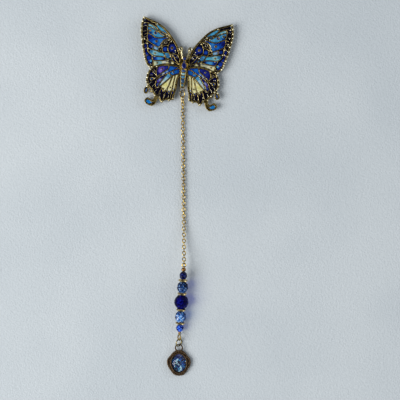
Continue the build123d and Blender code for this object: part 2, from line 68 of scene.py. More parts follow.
class Paint:
    """A node material under construction. Each call adds a node and returns its output."""

    def __init__(self, name):
        self.mat = bpy.data.materials.new(name)
        self.mat.use_nodes = True
        self.tree = self.mat.node_tree
        self.tree.nodes.clear()
        self.out = self.tree.nodes.new("ShaderNodeOutputMaterial")

    def node(self, kind, inputs=None, **settings):
        n = self.tree.nodes.new(kind)
        for key, value in settings.items():
            setattr(n, key, value)
        for key, value in (inputs or {}).items():
            self.link(value, n.inputs[key])
        return n

    def link(self, value, socket):
        if isinstance(value, bpy.types.NodeSocket):
            self.tree.links.new(value, socket)
        elif isinstance(value, tuple) and len(value) == 3 and socket.type == "RGBA":
            socket.default_value = (*value, 1)
        else:
            socket.default_value = value

    def place(self, origin=(0, 0, 0), turn=0.0):
        """Object coordinates in millimetres from an origin, which ride with the part."""
        coord = self.node("ShaderNodeTexCoord").outputs["Object"]
        shifted = self.node("ShaderNodeVectorMath", {0: coord, 1: tuple(origin)}, operation="SUBTRACT")
        scaled = self.node("ShaderNodeVectorMath", {0: shifted.outputs[0], "Scale": 1000.0},
                           operation="SCALE").outputs[0]
        if not turn:
            return scaled
        return self.node("ShaderNodeVectorRotate", {"Vector": scaled, "Angle": -turn}).outputs[0]

    def noise(self, vector, scale, detail=3.0, rough=0.55, distortion=0.0):
        n = self.node("ShaderNodeTexNoise", {"Vector": vector, "Scale": scale, "Detail": detail,
                                             "Roughness": rough, "Distortion": distortion})
        return n.outputs["Fac"]

    def cells(self, vector, scale, output="Distance"):
        n = self.node("ShaderNodeTexVoronoi", {"Vector": vector, "Scale": scale}, feature="F1")
        return n.outputs[output]

    def axis(self, vector, letter):
        return self.node("ShaderNodeSeparateXYZ", {"Vector": vector}).outputs[letter]

    def ramp(self, value, low, high, out_low=0.0, out_high=1.0):
        """Smooth change from one value to another while the input goes from low to high."""
        n = self.node("ShaderNodeMapRange", {"Value": value, "From Min": low, "From Max": high,
                                             "To Min": out_low, "To Max": out_high},
                      interpolation_type="SMOOTHSTEP")
        return n.outputs[0]

    def math(self, operation, a, b=0.0):
        return self.node("ShaderNodeMath", {0: a, 1: b}, operation=operation).outputs[0]

    def mix(self, factor, a, b, blend="MIX"):
        n = self.tree.nodes.new("ShaderNodeMix")
        n.data_type = "RGBA"
        n.blend_type = blend
        n.clamp_factor = True
        self.link(factor, n.inputs[0])
        self.link(a, n.inputs[6])
        self.link(b, n.inputs[7])
        return n.outputs[2]

    def bump(self, height, distance, strength=1.0):
        inputs = {"Height": height, "Distance": distance, "Strength": strength}
        return self.node("ShaderNodeBump", inputs).outputs[0]

    def scatter(self, value, noise, amount):
        """Value pushed up and down by a noise round its middle."""
        return self.math("ADD", value, self.math("MULTIPLY", self.math("SUBTRACT", noise, 0.5), amount))

    def principled(self, **inputs):
        keys = {k.replace("_", " ").title().replace("Ior", "IOR"): v for k, v in inputs.items()}
        return self.node("ShaderNodeBsdfPrincipled", keys).outputs[0]

    def finish(self, shader):
        self.link(shader, self.out.inputs["Surface"])
        return self.mat


def srgb(r, g, b):
    """Linear colour from 0-255 screen values."""
    return tuple((c / 255 / 12.92) if c < 10 else ((c / 255 + 0.055) / 1.055) ** 2.4 for c in (r, g, b))


def metal(name, dark, bright, rough, grain, patina, depth):
    """Cast or drawn metal: patina in patches and hollows, brighter on the edges where the patina is gone,
    fine grain.
    """
    p = Paint(name)
    place = p.place()
    patches = p.ramp(p.noise(place, 0.35 * grain, 4), 0.38, 0.66)
    fine = p.noise(place, 4.5 * grain, 4, 0.6)
    edge = p.ramp(p.node("ShaderNodeNewGeometry").outputs["Pointiness"], 0.505, 0.6)
    bright_share = p.math("MULTIPLY", patches, 1 - patina)
    bright_share = p.math("MAXIMUM", bright_share, edge)
    bright_share = p.math("MULTIPLY", bright_share, p.ramp(fine, 0.3, 0.6, 0.75, 1.0))
    colour = p.mix(bright_share, dark, bright)
    roughness = p.ramp(p.noise(place, 2.0 * grain, 3), 0.3, 0.7, rough * 0.75, rough * 1.35)
    normal = p.bump(fine, depth * MM)
    return p.finish(p.principled(base_color=colour, metallic=1.0, roughness=roughness, normal=normal))


def cast_gold(name, dark, bright, rough, patina):
    """Antique gold of the casting: patina in patches, flat tops keep the dark colour, and the rounded wire
    and the sides of the walls get a painted highlight.
    """
    p = Paint(name)
    place = p.place(WINGS)
    normal = p.node("ShaderNodeNewGeometry").outputs["Normal"]
    up = p.axis(normal, "Z")
    # Painted highlight: the colour is made brighter the further the surface tips from flat, in noisy patches.
    sheen = p.ramp(p.noise(place, 1.1, 4, 0.7), 0.38, 0.54, 0.4, 1.0)
    slope_highlight = p.math("MULTIPLY", p.ramp(up, 0.995, 0.9), sheen)
    fine = p.noise(place, 5.0, 4, 0.6)
    patches = p.ramp(p.noise(place, 0.55, 4, 0.6), 0.42, 0.6)
    # Share of the bright colour: real patina patches, and the painted highlight on tilted surfaces.
    bright_share = p.math("MAXIMUM", p.math("MULTIPLY", patches, 1 - patina), slope_highlight)
    bright_share = p.math("MULTIPLY", bright_share, p.ramp(fine, 0.3, 0.6, 0.7, 1.0))
    colour = p.mix(bright_share, dark, bright)
    roughness = p.ramp(p.noise(place, 3.0, 3), 0.3, 0.7, rough * 0.7, rough * 1.4)
    bumped = p.bump(p.noise(place, 2.4, 4, 0.6), 0.06 * MM)
    return p.finish(p.principled(base_color=colour, metallic=1.0, roughness=roughness, normal=bumped))


def enamel(name, base, deep, spots=(), gloss=0.2):
    """Poured enamel: the colour drifts across a cell and pools at the spots, with streaks.

    A spot is x, y, radius in millimetres, colour, and optionally which wing it is on.
    """
    p = Paint(name)
    place = p.place(WINGS)
    split = p.node("ShaderNodeSeparateXYZ", {"Vector": place})
    side = split.outputs["X"]
    along = split.outputs["Y"]
    half = p.node("ShaderNodeCombineXYZ", {"X": p.math("ABSOLUTE", side), "Y": along}).outputs[0]
    whole = p.node("ShaderNodeCombineXYZ", {"X": side, "Y": along}).outputs[0]
    wobble = p.noise(place, 0.9, 3, 0.6)
    colour = p.mix(p.ramp(wobble, 0.36, 0.66), deep, base)
    for x, y, radius, tint, *wing in spots:
        centre = (x * (wing[0] if wing else 1), y, 0)
        distance = p.node("ShaderNodeVectorMath", {0: whole if wing else half, 1: centre},
                          operation="DISTANCE").outputs["Value"]
        distance = p.scatter(distance, wobble, radius)
        colour = p.mix(p.ramp(distance, radius, radius * 0.35), colour, tint)
    streaks = p.ramp(p.noise(place, 2.6, 4, 0.7), 0.3, 0.7, 0.68, 1.34)
    grey = p.node("ShaderNodeCombineXYZ", {"X": streaks, "Y": streaks, "Z": streaks}).outputs[0]
    colour = p.mix(1.0, colour, grey, "MULTIPLY")
    normal = p.bump(p.noise(place, 1.1, 2), 0.12 * MM, 0.5)
    return p.finish(p.principled(base_color=colour, roughness=gloss, normal=normal, coat_weight=0.15,
                                 specular_ior_level=0.22, coat_roughness=0.06))


def glass(name, deep, middle, light, spark, shadow, sparkle):
    """Cut glass with painted light: each facet gets its own painted brightness of colour, broken up by the
    facets behind it.
    """
    p = Paint(name)
    place = p.place()
    normal = p.node("ShaderNodeNewGeometry").outputs["True Normal"]
    facet = p.node("ShaderNodeVectorMath", {0: normal, 1: (0.04, 0.04, 0.04)}, operation="SNAP").outputs[0]
    own = p.node("ShaderNodeTexWhiteNoise", {"Vector": facet}).outputs["Value"]
    behind = p.axis(p.cells(place, 1.15, "Color"), "X")
    small = p.axis(p.cells(place, 2.3, "Color"), "Y")
    depth = p.math("ADD", p.math("MULTIPLY", own, 0.45), p.math("MULTIPLY", behind, 0.55))
    facing = p.node("ShaderNodeLayerWeight", {"Blend": 0.5}).outputs["Facing"]
    # Painted light: facets that face down the picture and up towards the viewer are painted lighter.
    low = p.node("ShaderNodeVectorMath", {0: normal, 1: (0.1, -0.8, 0.3)}, operation="DOT_PRODUCT")
    depth = p.math("ADD", depth, p.ramp(low.outputs["Value"], -0.2, 0.9, -0.08, 0.22))
    # Painted shade: the rim of the bead, where the facets turn away from the viewer, is painted darker.
    depth = p.math("SUBTRACT", depth, p.ramp(facing, 0.4, 0.9, 0.0, 0.55))
    colour = p.mix(p.ramp(depth, 0.15, 0.5), deep, middle)
    colour = p.mix(p.ramp(depth, 0.5, 0.85), colour, light)
    # Painted glints: small cells of the spark colour on the lighter facets.
    glint = p.math("MULTIPLY", p.ramp(small, 0.72, 0.86), p.ramp(depth, 0.35, 0.7))
    colour = p.mix(p.math("MULTIPLY", glint, sparkle), colour, spark)
    # Painted glow: a faint emission in the bead's own colour.
    body = p.principled(base_color=colour, roughness=0.06, specular_ior_level=0.05,
                        emission_color=colour, emission_strength=0.015)
    path = p.node("ShaderNodeLightPath").outputs["Is Shadow Ray"]
    tint = p.node("ShaderNodeBsdfTransparent", {"Color": shadow}).outputs[0]
    shader = p.node("ShaderNodeMixShader", {0: p.math("MULTIPLY", path, 0.7), 1: body, 2: tint})
    return p.finish(shader.outputs[0])


def polished_stone(name, spots, base, deep):
    """Smooth domed stones along the body, whose colour changes from one to the next."""
    p = Paint(name)
    place = p.place(WINGS)
    along = p.axis(place, "Y")
    cloud = p.noise(place, 1.3, 4, 0.65)
    colour = p.mix(p.ramp(cloud, 0.35, 0.65), deep, base)
    for y, reach, tint in spots:
        distance = p.math("ABSOLUTE", p.math("SUBTRACT", along, y))
        distance = p.scatter(distance, cloud, reach)
        colour = p.mix(p.ramp(distance, reach, reach * 0.6), colour, tint)
    return p.finish(p.principled(base_color=colour, roughness=0.08, coat_weight=0.6, coat_roughness=0.03))


def clear_dome(name):
    """Clear glass over a picture: almost invisible face on, mirror-like at the edge."""
    p = Paint(name)
    place = p.place()
    ripple = p.bump(p.noise(place, 0.3, 1), 0.02 * MM, 0.2)
    gloss = p.node("ShaderNodeBsdfGlossy", {"Color": (1.0, 1.0, 1.0), "Roughness": 0.06, "Normal": ripple})
    through = p.node("ShaderNodeBsdfTransparent", {"Color": (0.93, 0.96, 0.98)})
    fresnel = p.node("ShaderNodeFresnel", {"IOR": 1.5, "Normal": ripple}).outputs[0]
    share = p.math("MULTIPLY", fresnel, 0.4)
    shader = p.node("ShaderNodeMixShader", {0: share, 1: through.outputs[0], 2: gloss.outputs[0]})
    return p.finish(shader.outputs[0])


def marbled_print(name, origin, turn):
    """Abstract swirl in blues, teal and white, as printed under the glass of the charm."""
    p = Paint(name)
    place = p.place(origin, turn)
    warp = p.noise(place, 0.42, 4, 0.6, 1.2)
    split = p.node("ShaderNodeSeparateXYZ", {"Vector": place})
    x = p.scatter(split.outputs["X"], warp, 3.2)
    y = p.scatter(split.outputs["Y"], warp, 1.5)
    patches = p.noise(place, 0.6, 3, 0.6, 0.8)
    bits = p.noise(place, 1.2, 3, 0.6, 0.4)
    colour = p.mix(p.ramp(patches, 0.5, 0.56), srgb(3, 6, 44), srgb(22, 66, 160))
    colour = p.mix(p.ramp(p.noise(place, 0.9, 3, 0.6, 1.0), 0.55, 0.6), colour, srgb(76, 160, 196))
    wave = p.math("SINE", p.math("ADD", p.math("MULTIPLY", y, 0.8), 0.9))
    band = p.math("ABSOLUTE", p.math("ADD", x, p.math("MULTIPLY", wave, 1.5)))
    colour = p.mix(p.ramp(band, 0.56, 0.34), colour, srgb(196, 226, 234))
    ripple = p.math("ABSOLUTE", p.math("SUBTRACT", band, 2.3))
    colour = p.mix(p.math("MULTIPLY", p.ramp(ripple, 0.4, 0.12), 0.4), colour, srgb(96, 150, 214))
    colour = p.mix(p.ramp(bits, 0.54, 0.58), colour, srgb(4, 5, 24))
    middle = p.node("ShaderNodeVectorMath", {0: place}, operation="LENGTH").outputs["Value"]
    rust = p.math("MULTIPLY", p.ramp(bits, 0.44, 0.4), p.ramp(middle, 2.8, 1.8))
    colour = p.mix(rust, colour, srgb(70, 24, 30))
    crown = p.ramp(y, 2.2, 3.2)
    colour = p.mix(p.math("MULTIPLY", crown, 0.8), colour, srgb(6, 12, 80))
    crest = p.ramp(y, 4.1, 4.8)
    colour = p.mix(p.math("MULTIPLY", crest, 0.8), colour, srgb(120, 116, 176))
    return p.finish(p.principled(base_color=colour, roughness=0.45))


def coated(name, colour, dark):
    """Dipped coating: soft mottling and a slight texture."""
    p = Paint(name)
    place = p.place()
    mottle = p.noise(place, 2.2, 4)
    normal = p.bump(p.noise(place, 9.0, 3), 0.02 * MM)
    return p.finish(p.principled(base_color=p.mix(p.ramp(mottle, 0.3, 0.7), dark, colour),
                                 roughness=0.5, normal=normal))


# ------------------------------------------------------------------ colours

AZURE = srgb(66, 140, 178)
SKY = srgb(78, 150, 190)
PALE_AQUA = srgb(104, 162, 176)
COBALT = srgb(14, 54, 140)
ROYAL = srgb(10, 40, 130)
NAVY = srgb(10, 16, 82)
INK = srgb(9, 6, 22)
SOOT = srgb(5, 4, 12)
CREAM = srgb(214, 208, 156)
LEMON = srgb(198, 192, 118)
LILAC = srgb(140, 136, 190)
VIOLET = srgb(84, 66, 160)
UMBER = srgb(40, 30, 26)

PRINT_LOW, PRINT_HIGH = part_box("charm_print")
CHARM = Vector(((PRINT_LOW.x + PRINT_HIGH.x) / 2, (PRINT_LOW.y + PRINT_HIGH.y) / 2, 0))
CHARM_TURN = math.radians(5.0)

MATERIALS = {
    "butterfly_casting": cast_gold("antique_gold", srgb(66, 50, 16), srgb(250, 222, 136), 0.34, 0.6),
    # Darker copy of the casting gold: painted shade on the sheet, body and sides under the walls.
    "core": cast_gold("antique_gold_shaded", srgb(42, 32, 10), srgb(140, 114, 44), 0.34, 0.8),
    # Brighter copy of the casting gold with less patina: painted highlight on the raised wire, grains, bosses
    # and feelers.
    "raised": cast_gold("sheen_gold", srgb(120, 98, 48), srgb(255, 248, 210), 0.26, 0.4),
    # Near-black enamel colour, used as painted shade along the cell walls.
    "outline": enamel("painted_wall_shade", INK, SOOT, gloss=0.1),
    "chain": metal("chain_gold", srgb(104, 78, 24), srgb(238, 206, 108), 0.2, 2.0, 0.15, 0.01),
    "ball_cap": metal("copper_gold", srgb(84, 52, 22), srgb(206, 158, 96), 0.22, 1.4, 0.5, 0.01),
    "charm_ring": metal("pale_brass", srgb(96, 82, 46), srgb(214, 198, 142), 0.24, 1.5, 0.4, 0.01),
    "charm_bezel": metal("dark_bronze", srgb(32, 22, 16), srgb(122, 100, 76), 0.38, 1.8, 0.6, 0.14),
    "spacer": metal("spacer_gold", srgb(70, 48, 20), srgb(244, 218, 150), 0.22, 1.5, 0.35, 0.01),
    "grip": metal("bronze_wire", srgb(80, 62, 34), srgb(170, 145, 92), 0.3, 1.0, 0.4, 0.01),
    "enamel_black": enamel("enamel_black", INK, SOOT, [
        (16.3, 22.2, 2.2, AZURE), (14.4, 20.6, 2.3, AZURE), (12.6, 18.9, 1.5, srgb(60, 115, 150)),
        (14.2, 18.4, 1.2, srgb(40, 90, 130)), (18.1, -5.6, 1.1, NAVY), (7.6, -15.3, 1.0, COBALT),
        (9.4, -14.9, 0.8, ROYAL), (11.6, -14.2, 1.0, NAVY), (5.2, -14.9, 0.8, ROYAL),
        (9.4, 16.0, 0.9, UMBER), (12.4, 12.6, 0.9, UMBER), (11.0, 14.0, 0.6, srgb(66, 48, 34)),
        (4.4, 5.4, 0.9, srgb(60, 62, 92)), (6.0, 6.4, 0.6, srgb(34, 40, 90)),
        (14.6, -12.6, 0.8, srgb(20, 26, 60)), (13.0, 8.6, 0.8, ROYAL)]),
    "enamel_navy": enamel("enamel_navy", INK, SOOT, [
        (20.8, 3.4, 1.8, srgb(14, 44, 130)), (20.0, 1.2, 1.5, srgb(10, 36, 116)), (19.2, 1.9, 0.8, SKY),
        (22.2, 5.6, 1.4, ROYAL), (22.6, 8.2, 1.6, NAVY), (22.8, 10.4, 1.4, srgb(12, 26, 96)),
        (24.9, 25.2, 0.7, srgb(90, 110, 140)), (24.4, 22.4, 0.9, srgb(22, 26, 66)),
        (7.6, 10.4, 2.5, srgb(16, 40, 128)), (6.4, 8.6, 1.3, srgb(8, 20, 84)),
        (20.3, 10.4, 1.3, srgb(12, 40, 110)), (19.0, 10.2, 0.8, srgb(110, 120, 180)),
        (11.7, 9.4, 1.5, srgb(20, 58, 146)), (6.4, 4.0, 1.5, srgb(14, 28, 88)), (8.0, 6.0, 0.8, ROYAL)]),
    "enamel_cobalt": enamel("enamel_cobalt", srgb(16, 66, 150), srgb(10, 44, 122), [
        (14.8, 14.2, 2.1, srgb(40, 104, 166)), (15.6, 11.8, 1.5, srgb(34, 96, 160)),
        (18.2, 12.9, 1.4, srgb(22, 96, 172)), (21.4, 15.2, 2.2, NAVY), (19.4, 15.8, 1.3, srgb(6, 30, 98)),
        (12.4, 15.6, 1.1, srgb(16, 60, 130)), (14.4, 3.8, 2.3, srgb(60, 130, 180)),
        (17.6, 3.6, 1.1, srgb(16, 30, 90)), (11.2, 3.9, 1.2, INK),
        (4.4, -3.0, 1.2, srgb(14, 84, 150)), (6.4, -3.9, 1.2, srgb(30, 108, 170)),
        (7.2, -1.4, 1.9, srgb(16, 82, 160)), (9.6, -3.4, 1.1, srgb(110, 140, 180)),
        (11.4, -4.6, 1.1, srgb(166, 178, 180)), (13.4, -6.2, 1.0, srgb(120, 126, 170)),
        (17.8, 18.2, 0.8, srgb(10, 60, 150)), (17.8, -8.2, 0.8, srgb(30, 70, 140))]),
    "enamel_azure": enamel("enamel_azure", AZURE, srgb(40, 106, 156), [
        (13.6, 19.6, 2.6, SKY), (21.6, 19.4, 1.3, srgb(50, 74, 110)), (22.0, 18.6, 1.2, INK),
        (20.8, 17.8, 1.2, srgb(12, 46, 116)), (14.8, 17.2, 1.6, srgb(72, 138, 176)),
        (17.0, 9.2, 1.3, srgb(126, 156, 180)), (18.0, 10.4, 0.7, LILAC),
        (9.8, 5.8, 1.4, srgb(50, 92, 132)), (8.6, 4.4, 0.9, INK), (11.6, 6.0, 0.8, srgb(90, 150, 180)),
        (18.4, -21.4, 1.7, srgb(22, 104, 172)), (16.4, -21.7, 0.9, srgb(120, 140, 170)),
        (20.4, -15.0, 1.4, srgb(66, 84, 128))]),
    "enamel_aqua": enamel("enamel_aqua", PALE_AQUA, srgb(84, 142, 164), [
        (13.2, 6.2, 2.1, srgb(66, 148, 178)), (17.2, 6.8, 1.8, srgb(124, 168, 176)),
        (19.4, 7.2, 1.2, srgb(40, 96, 140)), (20.8, 7.8, 1.2, INK),
        (21.8, 22.4, 0.9, srgb(150, 184, 186)), (18.4, 20.6, 1.4, srgb(84, 142, 160)),
        (8.4, -5.8, 1.5, srgb(70, 130, 172)), (9.6, -7.6, 1.4, srgb(150, 178, 190)),
        (11.2, -9.6, 1.9, srgb(176, 184, 180)), (12.6, -11.8, 1.0, srgb(110, 124, 160))]),
    "enamel_cream": enamel("enamel_cream", CREAM, srgb(198, 194, 146), [
        (9.8, -10.8, 2.0, LEMON), (9.0, -7.4, 1.5, CREAM), (4.6, -13.0, 0.7, srgb(110, 130, 170)),
        (7.4, -14.6, 0.7, srgb(40, 80, 150)), (6.6, -12.2, 0.4, srgb(20, 70, 150)),
        (4.6, 1.4, 2.6, INK), (8.4, 2.4, 1.7, srgb(34, 30, 40)), (10.6, 2.6, 1.2, srgb(96, 100, 96)),
        (14.8, 1.2, 2.6, srgb(190, 188, 160), 1), (12.0, 1.6, 1.6, srgb(150, 156, 138), 1),
        (14.6, 1.0, 3.2, srgb(110, 152, 158), -1), (11.4, 1.9, 1.4, srgb(176, 180, 176), -1)]),
    "enamel_violet": enamel("enamel_violet", srgb(24, 30, 100), srgb(18, 20, 76), [
        (12.6, -1.9, 2.4, srgb(70, 58, 142), -1), (13.4, -3.4, 1.6, srgb(104, 86, 168), -1),
        (12.6, -3.0, 2.4, srgb(26, 36, 112), 1), (14.6, -4.6, 1.3, NAVY),
        (9.8, -1.2, 1.2, srgb(24, 40, 120)), (12.9, -8.4, 1.3, srgb(118, 122, 168)),
        (14.4, -9.4, 1.0, VIOLET), (13.6, -11.2, 1.2, srgb(70, 92, 130)), (14.6, -11.8, 0.8, NAVY)]),
    "body_stones": polished_stone("body_stone", [
        (4.75, 0.8, srgb(24, 40, 96)), (-2.3, 0.9, srgb(40, 72, 122)), (-4.3, 0.9, srgb(150, 186, 186)),
        (-6.1, 0.9, srgb(66, 132, 166)), (-8.4, 1.3, srgb(44, 74, 104)), (-10.6, 0.8, srgb(70, 110, 122))],
        srgb(8, 26, 104), srgb(4, 10, 60)),
    "bead_navy": glass("bead_navy", srgb(1, 2, 16), srgb(4, 6, 42), srgb(14, 22, 86), srgb(96, 110, 180),
                       srgb(46, 54, 140), 0.35),
    "bead_steel": glass("bead_steel", srgb(3, 6, 22), srgb(11, 30, 72), srgb(40, 78, 136),
                        srgb(176, 206, 232), srgb(60, 100, 235), 0.5),
    "bead_cobalt": glass("bead_cobalt", srgb(1, 1, 20), srgb(2, 1, 54), srgb(6, 5, 94),
                         srgb(30, 44, 170), srgb(60, 70, 245), 0.4),
    "bead_ice": glass("bead_ice", srgb(6, 16, 52), srgb(20, 60, 130), srgb(88, 142, 206),
                      srgb(228, 240, 252), srgb(120, 180, 250), 0.9),
    "bead_sapphire": glass("bead_sapphire", srgb(4, 10, 66), srgb(12, 42, 156), srgb(48, 100, 220),
                           srgb(150, 190, 248), srgb(80, 120, 235), 0.6),
    "tip": coated("dipped_tip", srgb(60, 46, 34), srgb(34, 26, 20)),
    "print": marbled_print("printed_disc", CHARM, CHARM_TURN),
    "dome": clear_dome("clear_glass"),
}


def material_key(node):
    if node in MATERIALS:
        return node
    if node == "crimp":
        return "charm_bezel"
    if node.startswith("chain_") or node in ("tail_ring", "eye_pin"):
        return "chain"
    if node.startswith("spacer"):
        return "spacer"
    if node.endswith("_tip"):
        return "tip"
    if node.startswith("grip_upper") or node.startswith("grip_lower"):
        return "grip"
    if node == "grip_pad":
        return "butterfly_casting"
    return {"charm_print": "print", "charm_cabochon": "dome"}[node]


def dress(obj, material):
    obj.data.materials.clear()
    obj.data.materials.append(material)


for node_name, node_object in NODES.items():
    dress(node_object, MATERIALS[material_key(node_name)])

# ------------------------------------------------------------------ casting


def new_object(name, data, material, body, replaced=()):
    """Adds an object that rides on a body and, where told, stands for CAD nodes."""
    obj = bpy.data.objects.new(name, data)
    SCENE.collection.objects.link(obj)
    dress(obj, material)
    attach(obj, body)
    if replaced:
        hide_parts(*replaced)


def solid_mesh(name, verts, faces, weld=0.0, outward=True):
    """Mesh from points and faces, with close points joined and its faces turned outward where told."""
    mesh = bpy.data.meshes.new(name)
    mesh.from_pydata(verts, [], faces)
    bm = bmesh.new()
    bm.from_mesh(mesh)
    if weld:
        bmesh.ops.remove_doubles(bm, verts=bm.verts, dist=weld)
    if outward:
        bmesh.ops.recalc_face_normals(bm, faces=bm.faces)
    bm.to_mesh(mesh)
    bm.free()
    return mesh


def welded(node):
    """bmesh of a CAD node with its split vertices joined."""
    bm = bmesh.new()
    bm.from_mesh(NODES[node].data)
    bmesh.ops.remove_doubles(bm, verts=bm.verts, dist=0.001 * MM)
    return bm


def level_loops(bm, level):
    """Closed outlines of the flat upward faces at one height, in the faces' own winding."""
    flat = [f for f in bm.faces if f.normal.z > 0.99 and abs(f.calc_center_median().z - level) < 0.01 * MM]
    members = set(flat)
    onward = {}
    for face in flat:
        for corner in face.loops:
            if len([f for f in corner.edge.link_faces if f in members]) == 1:
                onward.setdefault(corner.vert, []).append(corner.link_loop_next.vert)
    loops = []
    while onward:
        start = next(iter(onward))
        loop = [start.co.copy()]
        here = start
        while here in onward:
            ends = onward[here]
            if len(loop) > 1 and len(ends) > 1:
                heading = (loop[-1] - loop[-2]).xy
                ends.sort(key=lambda v: heading.angle_signed((v.co - here.co).xy))
            after = ends.pop()
            if not ends:
                del onward[here]
            here = after
            if here is start:
                break
            loop.append(here.co.copy())
        loops.append(loop)
    return loops


def thinned(loop, gap):
    """Drops points that are closer together than the gap, but keeps corners."""
    kept = [loop[0]]
    for i in range(1, len(loop)):
        point = loop[i]
        after = loop[(i + 1) % len(loop)]
        into = point - kept[-1]
        away = after - point
        sharp = into.length > 1e-9 and away.length > 1e-9 and into.angle(away) > 0.5
        if sharp or into.length > gap:
            kept.append(point)
    return kept


def inset(loop, distance):
    """Loop moved to the left of its direction of travel, with long corners cut short."""
    moved = []
    for i, point in enumerate(loop):
        into = (point - loop[i - 1]).xy.normalized()
        away = (loop[(i + 1) % len(loop)] - point).xy.normalized()
        normals = Vector((-into.y, into.x)) + Vector((-away.y, away.x))
        spread = max(normals.length_squared / 2, 0.45)
        moved.append(point.xy + normals * (distance / spread))
    return moved


def rounded_plate(name, loops, bottom, top, radius, steps=3):
    """Flat plate with holes, cut along the loops, whose upper edges are rounded over."""
    verts = []
    faces = []
    crown = []
    for loop in loops:
        rings = [(0.0, bottom)]
        for k in range(steps + 1):
            turn = math.pi / 2 * k / steps
            rings.append((radius * (1 - math.cos(turn)), top - radius * (1 - math.sin(turn))))
        count = len(loop)
        first = len(verts)
        for shift, z in rings:
            moved = inset(loop, shift)
            verts.extend((p.x, p.y, z) for p in moved)
        for ring in range(len(rings) - 1):
            for i in range(count):
                low = first + ring * count
                j = (i + 1) % count
                faces.append((low + i, low + j, low + count + j, low + count + i))
        crown.append(moved)
    flat = [p for loop in crown for p in loop]
    outlines = []
    start = 0
    for loop in crown:
        outlines.append(list(range(start, start + len(loop))))
        start += len(loop)
    fill = geometry.delaunay_2d_cdt([p * 1000 for p in flat], [], outlines, 2, 1e-5)
    base = len(verts)
    verts.extend((p.x / 1000, p.y / 1000, top) for p in fill[0])
    faces.extend(tuple(base + i for i in face) for face in fill[2])
    return solid_mesh(name, verts, faces, weld=0.002 * MM, outward=False)


def shade(mesh, angle):
    """Smooth shading, with an edge kept where faces meet at more than the angle."""
    mesh.shade_smooth()
    mesh.set_sharp_from_angle(angle=math.radians(angle))


def outline_rings(name, loops, low, high, reach):
    """Ring of painted shade, in dark enamel colour, that creeps up the walls of each cell: one closed ring of
    four-sided section per loop.
    """
    verts = []
    faces = []
    section = ((0.03 * MM, low), (0.03 * MM, high), (-reach * 0.45, low + (high - low) * 0.72),
               (-reach, low + (high - low) * 0.55), (-reach, low))
    for loop in loops:
        first = len(verts)
        count = len(loop)
        for shift, z in section:
            verts.extend((p.x, p.y, z) for p in inset(loop, shift))
        sides = len(section)
        for k in range(sides):
            near = first + k * count
            far = first + (k + 1) % sides * count
            for i in range(count):
                j = (i + 1) % count
                faces.append((near + i, far + i, far + j, near + j))
    return solid_mesh(name, verts, faces)


def signed_area(loop):
    return sum(a.x * b.y - b.x * a.y for a, b in zip(loop, loop[1:] + loop[:1])) / 2


def curved(points, steps=6):
    """Smooth line through the points."""
    line = []
    count = len(points)
    for i in range(count - 1):
        p0, p1, p2, p3 = (Vector(points[min(max(i + k, 0), count - 1)]) for k in (-1, 0, 1, 2))
        for step in range(steps):
            t = step / steps
            line.append(0.5 * (2 * p1 + (p2 - p0) * t + (2 * p0 - 5 * p1 + 4 * p2 - p3) * t * t
                               + (3 * p1 - p0 - 3 * p2 + p3) * t ** 3))
    line.append(Vector(points[-1]))
    return line


class Build:
    """Collects many small solids in one mesh. Points are in millimetres from the given origin."""

    def __init__(self, origin=WINGS, turn=0.0):
        self.verts = []
        self.faces = []
        self.origin = Vector(origin)
        self.spin = Matrix.Rotation(turn, 3, "Z")

    def rings(self, rings, capped=True):
        """Skin over a row of rings that all have the same number of points."""
        first = len(self.verts)
        count = len(rings[0])
        for ring in rings:
            self.verts.extend(self.origin + self.spin @ (Vector(p) * MM) for p in ring)
        for k in range(len(rings) - 1):
            low = first + k * count
            for i in range(count):
                j = (i + 1) % count
                self.faces.append((low + i, low + j, low + count + j, low + count + i))
        if capped:
            self.faces.append(tuple(first + i for i in reversed(range(count))))
            self.faces.append(tuple(first + (len(rings) - 1) * count + i for i in range(count)))

    def wire(self, points, radius, height, sides=8, flat=0.8, taper=0.35):
        """Rounded wire along a smooth line, with thinner ends."""
        line = curved([Vector((x, y, height)) for x, y in points])
        rings = []
        for i, p in enumerate(line):
            ahead = (line[min(i + 1, len(line) - 1)] - line[max(i - 1, 0)]).normalized()
            across = Vector((-ahead.y, ahead.x, 0))
            end = min(i, len(line) - 1 - i)
            size = radius * (taper if end == 0 else (0.85 if end == 1 else 1.0))
            rings.append([p + across * size * math.cos(a) + Vector((0, 0, flat)) * size * math.sin(a)
                          for a in (2 * math.pi * k / sides for k in range(sides))])
        self.rings(rings)

    def dome(self, x, y, z, rx, ry, height, sides=16, levels=5, foot=0.25, power=1.0):
        """Oval dome with a short straight foot below it."""
        rings = [[(x + rx * math.cos(a), y + ry * math.sin(a), z - foot)
                  for a in (2 * math.pi * k / sides for k in range(sides))]]
        for level in range(levels + 1):
            turn = math.pi / 2 * level / levels
            size = max(math.cos(turn) ** power, 0.04)
            rings.append([(x + rx * size * math.cos(a), y + ry * size * math.sin(a),
                           z + height * math.sin(turn))
                          for a in (2 * math.pi * k / sides for k in range(sides))])
        self.rings(rings)

    def hoop(self, centre, radius, wire, swell=0.0, sides=10, around=40):
        """Flat-lying round ring of wire, which may be thicker towards -Y on its outer side."""
        loops = []
        for k in range(around + 1):
            a = 2 * math.pi * k / around
            thick = wire * (1 + swell * (1 - math.sin(a)) / 2)
            out = Vector((math.cos(a), math.sin(a), 0))
            loops.append([Vector(centre) + out * (radius - wire + thick + thick * math.cos(b))
                          + Vector((0, 0, thick * math.sin(b))) for b in
                          (2 * math.pi * i / sides for i in range(sides))])
        self.rings(loops, capped=False)

    def mesh(self, name, angle=60):
        mesh = solid_mesh(name, [tuple(v) for v in self.verts], self.faces, weld=0.0005 * MM)
        shade(mesh, angle)
        return mesh


GOLD = MATERIALS["butterfly_casting"]
# heights of the CAD casting: its sheet, the enamel in its cells, and the walls round them
SHEET_TOP = 2.80 * MM
FILL_TOP = 3.22 * MM
WALL_TOP = 3.35 * MM
